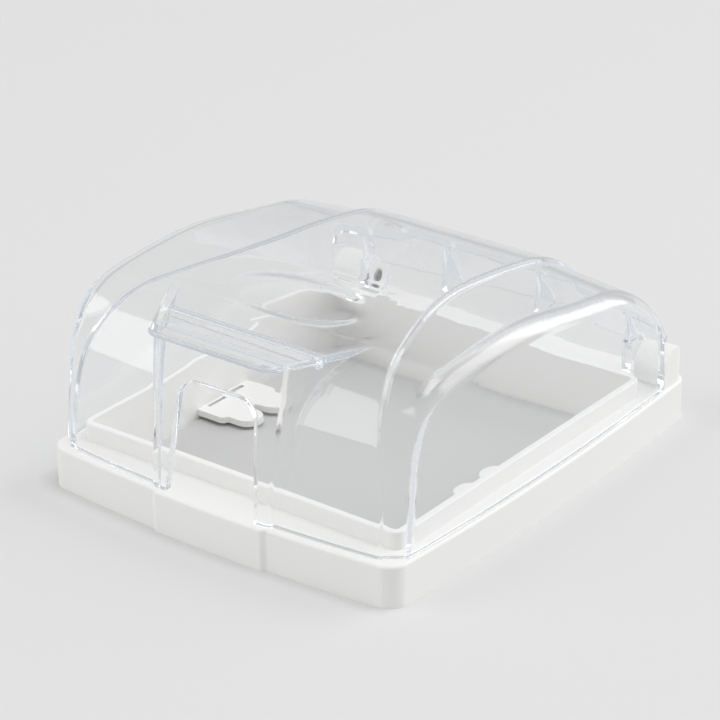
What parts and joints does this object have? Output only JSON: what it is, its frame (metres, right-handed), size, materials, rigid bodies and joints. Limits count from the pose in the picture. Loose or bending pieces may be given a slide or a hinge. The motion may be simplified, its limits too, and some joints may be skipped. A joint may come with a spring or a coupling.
{
  "type": "waterproof socket cover",
  "caption": "White wall frame with a clear lid hinged at its rear; shields a wall socket from splashes and lets a cable out at its front.",
  "frame": {"origin": "middle of the base frame's outline, on the wall plane", "axes": "+Z out of the wall, +Y towards the hinge, which is at the top once the cover is on a wall, +X along the hinge"},
  "size_m": [0.1054, 0.1238, 0.0512],
  "materials": {
    "white_plastic": "satin white",
    "clear_plastic": "clear, polished"
  },
  "bodies": {
    "base": {"base_frame": "white_plastic"},
    "lid": {"clear_lid": "clear_plastic"}
  },
  "joints": [
    {"name": "lid_hinge", "type": "hinge", "parent": "base", "child": "lid", "pos_m": [0, 0.05615, 0.01525], "axis": [-1, 0, 0], "range_deg": [0, 95]}
  ]
}
